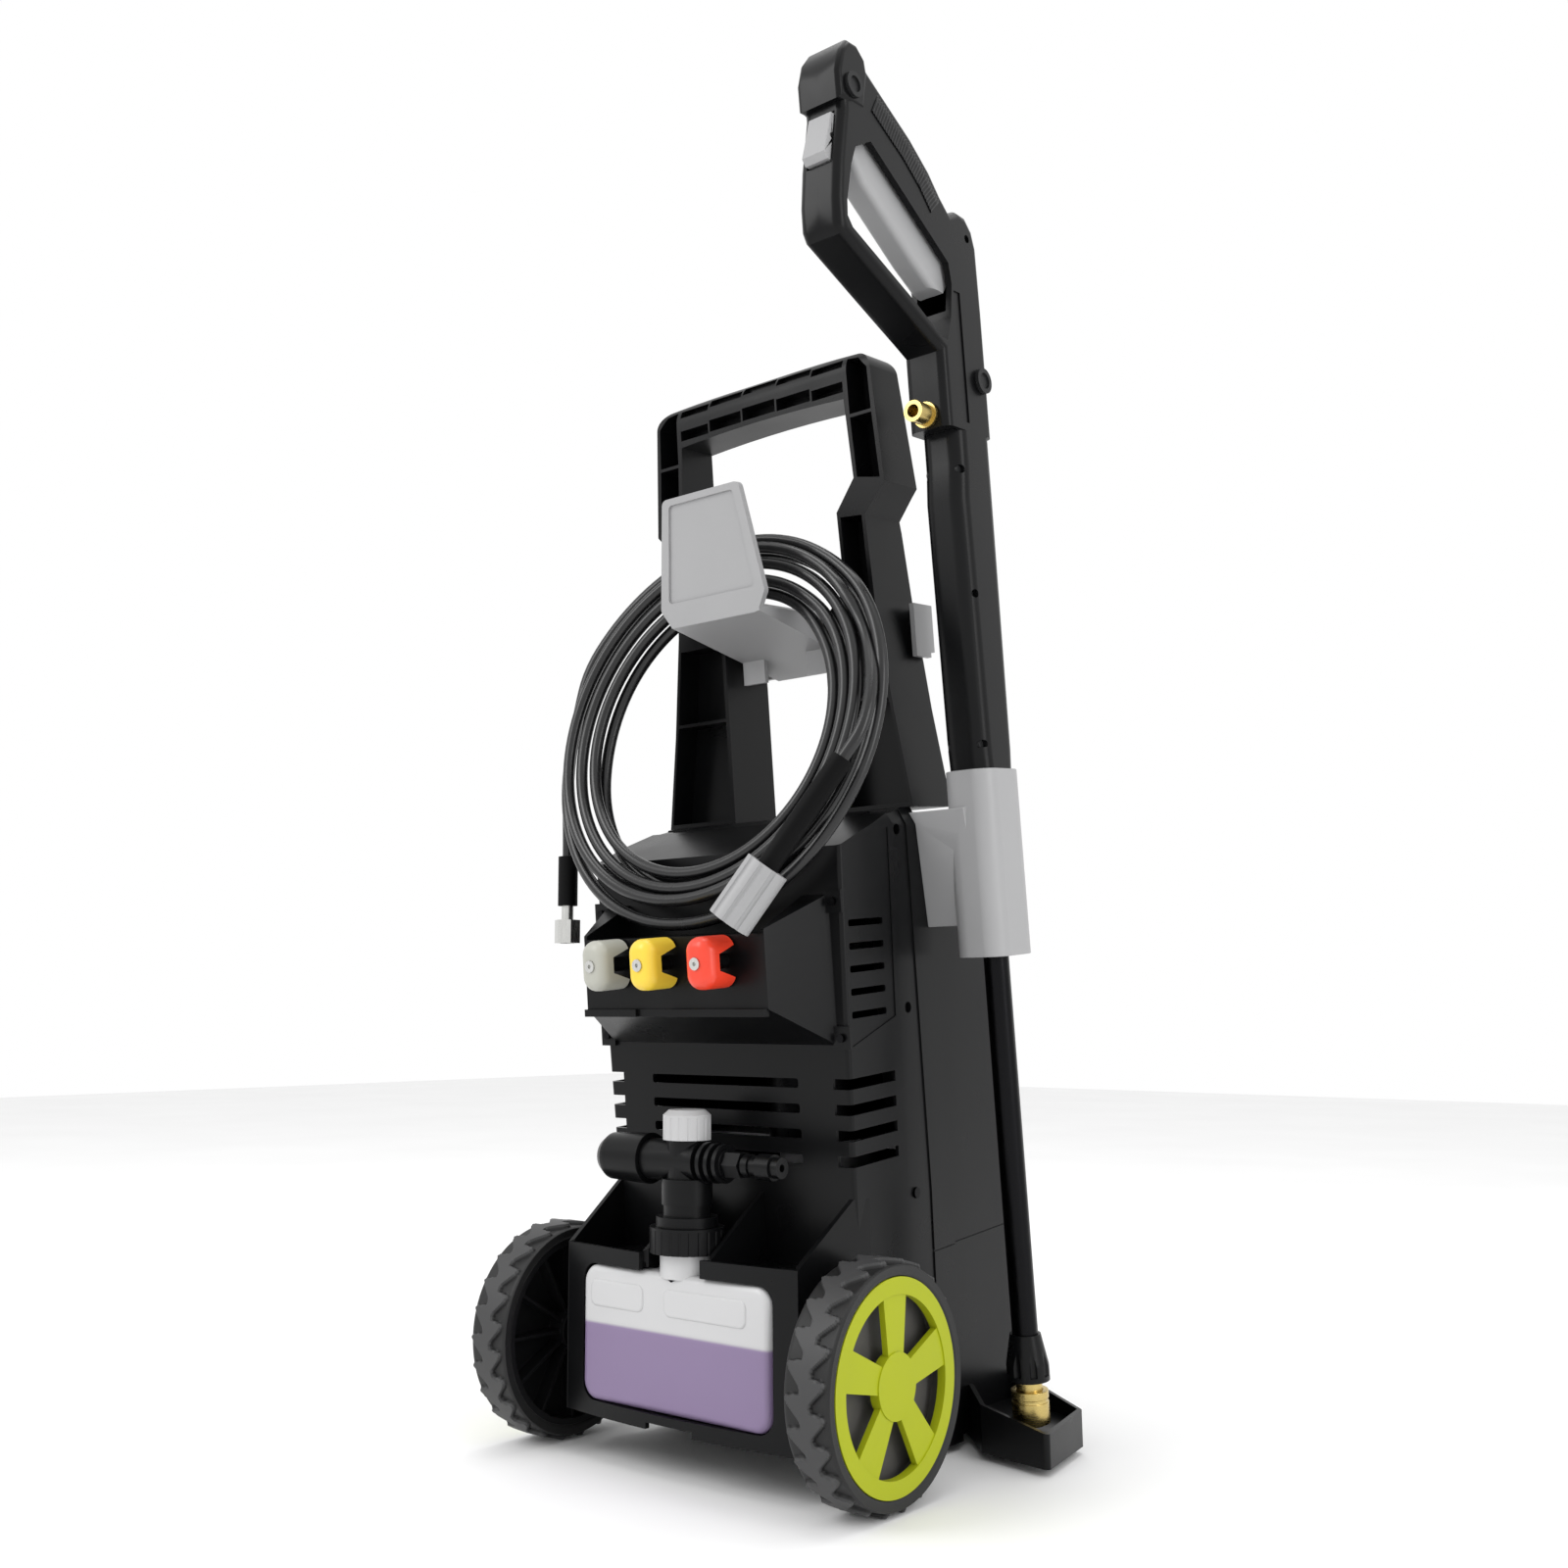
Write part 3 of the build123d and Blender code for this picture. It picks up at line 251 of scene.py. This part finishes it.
RUBBER = tyre_material()
FINISH = {
    BLACK: ["front_housing", "rear_housing", "nozzle_panel", "bottle_cradle", "push_handle",
            "lance_bracket", "gun_shell_left", "gun_shell_right", "foam_collar", "foam_body",
            "foam_barrel", "foam_plug", "lance_collar"],
    GREY: ["hose_hook", "lance_holster", "gun_trigger", "trigger_lock", "hose_nut"],
    PALE: ["foam_knob"],
    CHARCOAL: ["gun_screws", "cooling_fan",
               "switch_box", "inlet_connector"],
    DEEP: ["cord_gland", "rubber_feet", "hose_sleeves"],
    LIME: ["hub_cap_right", "hub_cap_left", "power_knob"],
    WHITE: ["nozzle_cap_white"], YELLOW: ["nozzle_cap_yellow"], RED: ["nozzle_cap_red"],
    RUBBER: ["tyre_right", "tyre_left"],
    HOSE_SKIN: ["hose_coil", "hose_tail_right", "hose_tail_left"],
    STEEL: ["stub_axles", "push_nuts", "hose_fitting", "nozzle_tip_white",
            "nozzle_tip_yellow", "nozzle_tip_red", "motor_rotor", "swash_plate", "pump_pistons"],
    BRASS: ["gun_valve", "coupler_body", "coupler_sleeve", "outlet_connector"],
    CAST: ["motor_end_bells", "pump_housing", "pump_head"],
    # motor_can takes this near-black finish as painted shade, so it stays dark behind the housing's vents
    TUBE_AND_SHADE: ["lance_tube", "motor_can", "case_screws"],
}
for mat, names in FINISH.items():
    for name in names:
        paint(name, mat)

paint("wheel_disc_right", disc_material("disc_right", 1))
paint("wheel_disc_left", disc_material("disc_left", -1))

ROUNDED = {
    0.0018: ["bottle_cradle", "push_handle"],
    0.0010: ["front_housing", "rear_housing", "nozzle_panel", "hose_hook", "lance_holster",
             "lance_bracket"],
    0.0007: ["gun_trigger", "trigger_lock", "hub_cap_right", "hub_cap_left", "wheel_disc_right",
             "wheel_disc_left", "nozzle_cap_white", "nozzle_cap_yellow", "nozzle_cap_red",
             "hose_nut", "foam_knob", "foam_collar", "foam_body", "foam_barrel", "lance_collar",
             "power_knob"],
    0.0004: ["hose_fitting", "foam_plug", "coupler_body", "coupler_sleeve", "gun_screws",
             "gun_valve", "cord_gland", "inlet_connector", "outlet_connector", "case_screws",
             "hose_sleeves"],
    0.0009: ["gun_shell_left", "gun_shell_right"],
}
for width, names in ROUNDED.items():
    for name in names:
        soften(name, width)


# ---- hose ----------------------------------------------------------------------------------------
HOSE_D = 10.6
COIL_CENTRE = (-8.0, 68.5, 597.8)
COIL_SLOPE = 0.335
COIL_R = 152.0
TURNS = 5
FIRST, LAST = 37.0, 155.0            # where the coil starts and ends, degrees from +X
PER_TURN = 24
RIGHT_END = [(107.4, -8.6, 471.6), (160, 27, 552), (175.6, 37.5, 575.8), (170, 62, 615), (146, 92, 660)]
LEFT_END = [(-175, 79, 630), (-184, 69.5, 575), (-179, 60.7, 512), (-179, 59.3, 496),
            (-179, 55.3, 451)]
# turn, distance outwards from the middle of the coil, distance backwards
LAY = [(0.0, 14.0, -8.0), (1.0, 2.5, -4.0), (2.0, -11.0, -1.0), (2.6, -21.0, 2.0),
       (3.0, -23.5, 6.0), (3.4, -20.0, 15.0), (3.7, -2.0, 14.0), (4.0, 12.0, 10.0),
       (4.35, 22.0, 7.0), (4.75, 25.0, 0.0), (5.4, 25.0, -3.0)]


def eased(turn, column):
    """Column 0 or 1 of the lay at a turn, straight between its rows."""
    for (t0, *a), (t1, *b) in zip(LAY, LAY[1:]):
        if turn <= t1:
            w = (turn - t0) / (t1 - t0)
            return a[column] * (1 - w) + b[column] * w
    return LAY[-1][column + 1]


def coil_points():
    """Loose turns side by side, one of which crosses behind the others."""
    tilt = math.atan(COIL_SLOPE)
    total = TURNS + (LAST - FIRST) / 360
    steps = round(total * PER_TURN)
    pull = 2 / (1 + math.cos(2 * math.pi / PER_TURN))
    points = []
    for i in range(steps + 1):
        turn = total * i / steps
        angle = math.radians(FIRST) + 2 * math.pi * turn
        wander = 1.2 * math.sin(angle + 1.9 * math.floor(turn)) - 1.0
        radius = (COIL_R + eased(turn, 0) + wander) * pull
        back = eased(turn, 1)
        up = radius * math.sin(angle)
        points.append((COIL_CENTRE[0] + radius * math.cos(angle),
                       COIL_CENTRE[1] + up * math.sin(tilt) + back * math.cos(tilt),
                       COIL_CENTRE[2] + up * math.cos(tilt) - back * math.sin(tilt)))
    return points


def make_hose():
    route = [tower(*p) for p in RIGHT_END + coil_points() + LEFT_END]
    data = bpy.data.curves.new("hose", "CURVE")
    data.dimensions = "3D"
    data.bevel_depth = HOSE_D / 2000
    data.bevel_resolution = 5
    data.resolution_u = 5
    data.use_fill_caps = True
    spline = data.splines.new("NURBS")
    spline.points.add(len(route) - 1)
    for point, place in zip(spline.points, route):
        point.co = (*place, 1)
    spline.order_u = 3
    spline.use_endpoint_u = True
    data.materials.append(HOSE_SKIN)
    hose = bpy.data.objects.new("hose", data)
    bpy.context.scene.collection.objects.link(hose)
    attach(hose, "machine")
    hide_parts("hose_coil", "hose_tail_right", "hose_tail_left")


make_hose()


# ---- mesh helpers --------------------------------------------------------------------------------
def mesh_object(name, verts, faces, mat, body, smooth=True):
    data = bpy.data.meshes.new(name)
    data.from_pydata(verts, [], faces)
    data.update()
    data.validate()
    data.materials.append(mat)
    for poly in data.polygons:
        poly.use_smooth = smooth
    obj = bpy.data.objects.new(name, data)
    bpy.context.scene.collection.objects.link(obj)
    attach(obj, body)
    return obj


# ---- tyres ---------------------------------------------------------------------------------------
LUGS = 24                 # lugs around a tyre, in each of its two rows
PER_LUG = 18              # mesh steps along a lug
ACROSS = 32               # mesh steps over the tread
RIM = 0.077
GROOVE = 0.0034
SHOULDER = 0.0012         # how far the tread falls away at its edges


def pocket_depth(s, turn):
    """Depth below the tread: pockets run in from both shoulders around a winding centre band."""
    phase = turn * LUGS + (0.5 if s > 0 else 0.0) + 0.42 * abs(s)
    bank = 0.50 + 0.32 * math.sin(2 * math.pi * phase)
    rise = min(1.0, max(0.0, (abs(s) - bank) / 0.06))
    return GROOVE * rise * rise * (3 - 2 * rise)


def tyre_mesh(name, node, body):
    """A tyre with a flat tread, two rows of hooked lugs and a smooth sidewall."""
    low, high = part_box(node)
    centre = (low + high) / 2
    half = (high.x - low.x) / 2
    outer = (high.z - low.z) / 2
    around = LUGS * PER_LUG
    verts, faces = [], []

    def ring_point(share, radius, i):
        a = 2 * math.pi * i / around
        return (centre.x + share * half, centre.y + radius * math.cos(a),
                centre.z + radius * math.sin(a))

    for i in range(around):
        for k in range(ACROSS + 1):
            s = -1 + 2 * k / ACROSS
            shoulder = SHOULDER * (max(0.0, abs(s) - 0.85) / 0.15) ** 2
            verts.append(ring_point(s, outer - shoulder - pocket_depth(s, i / around), i))
    row = ACROSS + 1
    for i in range(around):
        j = (i + 1) % around
        for k in range(ACROSS):
            faces.append((i * row + k, j * row + k, j * row + k + 1, i * row + k + 1))
    # sidewalls with a stepped bead, down to the rim: share of the half width, radius
    walls = [(1.0, outer - 0.0047), (0.995, 0.0835), (0.975, 0.0800), (0.975, 0.0785), (0.92, RIM)]
    rims = []
    for end in (-1, 1):
        last = [i * row + (ACROSS if end > 0 else 0) for i in range(around)]
        for share, radius in walls:
            start = len(verts)
            verts += [ring_point(end * share, radius, i) for i in range(around)]
            new = list(range(start, start + around))
            for i in range(around):
                j = (i + 1) % around
                faces.append((last[i], last[j], new[j], new[i]))
            last = new
        rims.append(last)
    for i in range(around):
        j = (i + 1) % around
        faces.append((rims[0][i], rims[0][j], rims[1][j], rims[1][i]))
    obj = mesh_object(name, verts, faces, RUBBER, body)
    fix = bmesh.new()
    fix.from_mesh(obj.data)
    bmesh.ops.recalc_face_normals(fix, faces=fix.faces)
    fix.to_mesh(obj.data)
    fix.free()
    split = obj.modifiers.new("edges", "EDGE_SPLIT")
    split.split_angle = math.radians(38)
    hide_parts(node)


tyre_mesh("treaded_tyre_right", "tyre_right", "wheel_right")
tyre_mesh("treaded_tyre_left", "tyre_left", "wheel_left")


# ---- ribbed grip -----------------------------------------------------------------------------------
GRIP_BACK = [(80, 1097), (102, 1083), (123, 1070), (149, 1049), (166, 1030)]
GUN_X = 185.0
GRIP_HALF = 20.6            # half width
GRIP_REACH = 30.0           # how far the arches come down the sides
RIBS = 34
RIB_HEIGHT = 0.9
STEPS_PER_RIB = 4
ARCH_STEPS = 18
SQUARENESS = 0.45           # 1 is a round arch, less is squarer


def grip_ribs():
    """Fine ribs moulded over the back of the grip, each one an arch from side to side."""
    steps = RIBS * STEPS_PER_RIB
    verts, faces = [], []
    spans = list(zip(GRIP_BACK, GRIP_BACK[1:]))
    lengths = [math.dist(a, b) for a, b in spans]
    for i in range(steps + 1):
        along = sum(lengths) * i / steps
        k = 0
        while k < len(spans) - 1 and along > lengths[k]:
            along -= lengths[k]
            k += 1
        (y0, z0), (y1, z1) = spans[k]
        w = along / lengths[k]
        dy, dz = (y1 - y0) / lengths[k], (z1 - z0) / lengths[k]
        crest = RIB_HEIGHT * (1.0 if i % STEPS_PER_RIB in (1, 2) else 0.35)
        for j in range(ARCH_STEPS + 1):
            t = math.pi * j / ARCH_STEPS
            across = -math.cos(t)
            x = (GRIP_HALF + crest * 0.5) * math.copysign(abs(across) ** SQUARENESS, across)
            depth = GRIP_REACH * (1 - math.sin(t) ** SQUARENESS) - crest
            verts.append(tower(GUN_X + x, y0 + (y1 - y0) * w + dz * depth,
                               z0 + (z1 - z0) * w - dy * depth))
    ring = ARCH_STEPS + 1
    for i in range(steps):
        for j in range(ARCH_STEPS):
            a = i * ring + j
            faces.append((a, a + 1, a + ring + 1, a + ring))
    faces.append(tuple(reversed(range(ring))))
    faces.append(tuple(range(steps * ring, steps * ring + ring)))
    # the underside, from one foot of the arches to the other
    for i in range(steps):
        left, right = i * ring, i * ring + ARCH_STEPS
        faces.append((left + ring, right + ring, right, left))
    mesh_object("grip_ribs", verts, faces, BLACK, "gun", smooth=False)


grip_ribs()


# ---- bottle and liquid ---------------------------------------------------------------------------
LIQUID_LEVEL = 0.108


def bottle_material():
    """Milky blow-moulded plastic, tinted by the liquid behind it up to the liquid's level."""
    mat, tree, shader = new_material("milky_bottle")
    shader.inputs["Roughness"].default_value = 0.3
    fine = noise(tree, 260.0)
    bump(tree, shader, fine.outputs["Fac"], 0.2, 0.0001)
    coords = tree.nodes.new("ShaderNodeTexCoord")
    split = tree.nodes.new("ShaderNodeSeparateXYZ")
    tree.links.new(coords.outputs["Object"], split.inputs["Vector"])
    level = spread(tree, split.outputs["Z"], 0.0, 1.0, LIQUID_LEVEL - 0.003, LIQUID_LEVEL + 0.003)
    tinted = two_tone(tree, level, (0.27, 0.20, 0.345), (0.56, 0.56, 0.565))
    tree.links.new(tinted, shader.inputs["Base Color"])
    tree.links.new(spread(tree, level, 0.8, 0.96, 0.0, 1.0), shader.inputs["Alpha"])
    return mat


def liquid_material():
    mat, tree, shader = new_material("violet_liquid")
    broad = noise(tree, 14.0, 2.0)
    colour = two_tone(tree, broad.outputs["Fac"], (0.235, 0.135, 0.36), (0.265, 0.155, 0.40))
    tree.links.new(colour, shader.inputs["Base Color"])
    shader.inputs["Roughness"].default_value = 0.25
    return mat


MILKY = bottle_material()
paint("foam_bottle", MILKY)
paint("foam_liquid", liquid_material())
soften("foam_bottle", 0.0012, 3)


BOTTLE_FRONT = -42.0
PANELS = [(-88, -30, 121, 142), (-8, 76, 121, 142)]               # left, right, bottom, top
PANEL_STEPS = [(0.0, -0.6), (0.0, 0.2), (0.7, 0.8), (1.8, 1.1)]   # inset, height
PANEL_CORNER = 6.0
CORNER_POINTS = 7


def rounded_outline(left, right, bottom, top, radius, inset):
    """Corners of a rounded rectangle as (x, z), anticlockwise."""
    points = []
    corners = [(right, top, 0), (left, top, 90), (left, bottom, 180), (right, bottom, 270)]
    for x, z, start in corners:
        cx = x - math.copysign(radius, x - (left + right) / 2)
        cz = z - math.copysign(radius, z - (bottom + top) / 2)
        for k in range(CORNER_POINTS):
            a = math.radians(start + 90 * k / (CORNER_POINTS - 1))
            points.append((cx + (radius - inset) * math.cos(a), cz + (radius - inset) * math.sin(a)))
    return points


def bottle_panels():
    """Raised rounded panels moulded into the front of the bottle, above the liquid."""
    verts, faces = [], []
    for panel in PANELS:
        start = len(verts)
        for inset, height in PANEL_STEPS:
            for x, z in rounded_outline(*panel, PANEL_CORNER, inset):
                verts.append(BASE @ Vector((x / 1000, (BOTTLE_FRONT - height) / 1000, z / 1000)))
        n = 4 * CORNER_POINTS
        for step in range(len(PANEL_STEPS) - 1):
            for i in range(n):
                a, b = start + step * n + i, start + step * n + (i + 1) % n
                faces.append((a, b, b + n, a + n))
        faces.append(tuple(range(start + n - 1, start - 1, -1)))
        last = start + (len(PANEL_STEPS) - 1) * n
        faces.append(tuple(range(last, last + n)))
    mesh_object("bottle_panels", verts, faces, MILKY, "foam_cannon", smooth=False)


bottle_panels()


# ---- floor and light -----------------------------------------------------------------------------
FLOOR_HALF = 6.0


def make_stage():
    """Pale floor under a plain white sky."""
    data = bpy.data.meshes.new("floor")
    corners = [(-1, -1), (1, -1), (1, 1), (-1, 1)]
    data.from_pydata([(x * FLOOR_HALF, y * FLOOR_HALF, 0) for x, y in corners], [], [(0, 1, 2, 3)])
    floor = bpy.data.objects.new("floor", data)
    mat, tree, shader = new_material("pale_floor")
    broad = noise(tree, 3.0, 2.0)
    tone = two_tone(tree, broad.outputs["Fac"], (0.86, 0.86, 0.86), (0.88, 0.88, 0.88))
    tree.links.new(tone, shader.inputs["Base Color"])
    shader.inputs["Roughness"].default_value = 0.9
    data.materials.append(mat)
    bpy.context.scene.collection.objects.link(floor)
    world = bpy.data.worlds.new("studio")
    world.use_nodes = True
    world.node_tree.nodes["Background"].inputs["Color"].default_value = (1, 1, 1, 1)
    world.node_tree.nodes["Background"].inputs["Strength"].default_value = 1.0
    bpy.context.scene.world = world
    bpy.context.scene.view_settings.view_transform = "Standard"


def softbox(name, place, target, size, power):
    data = bpy.data.lights.new(name, "AREA")
    data.shape = "RECTANGLE"
    data.size, data.size_y = size
    data.energy = power
    lamp = bpy.data.objects.new(name, data)
    lamp.location = place
    lamp.rotation_euler = (Vector(target) - Vector(place)).to_track_quat("-Z", "Y").to_euler()
    bpy.context.scene.collection.objects.link(lamp)


make_stage()
softbox("key", (-1.2, -2.2, 2.2), (0, 0, 0.5), (1.2, 1.8), 30)
softbox("side", (2.4, -0.2, 1.2), (0, 0, 0.5), (0.7, 2.2), 18)
softbox("top", (0.0, 0.2, 2.8), (0, 0, 0.4), (1.6, 1.6), 20)
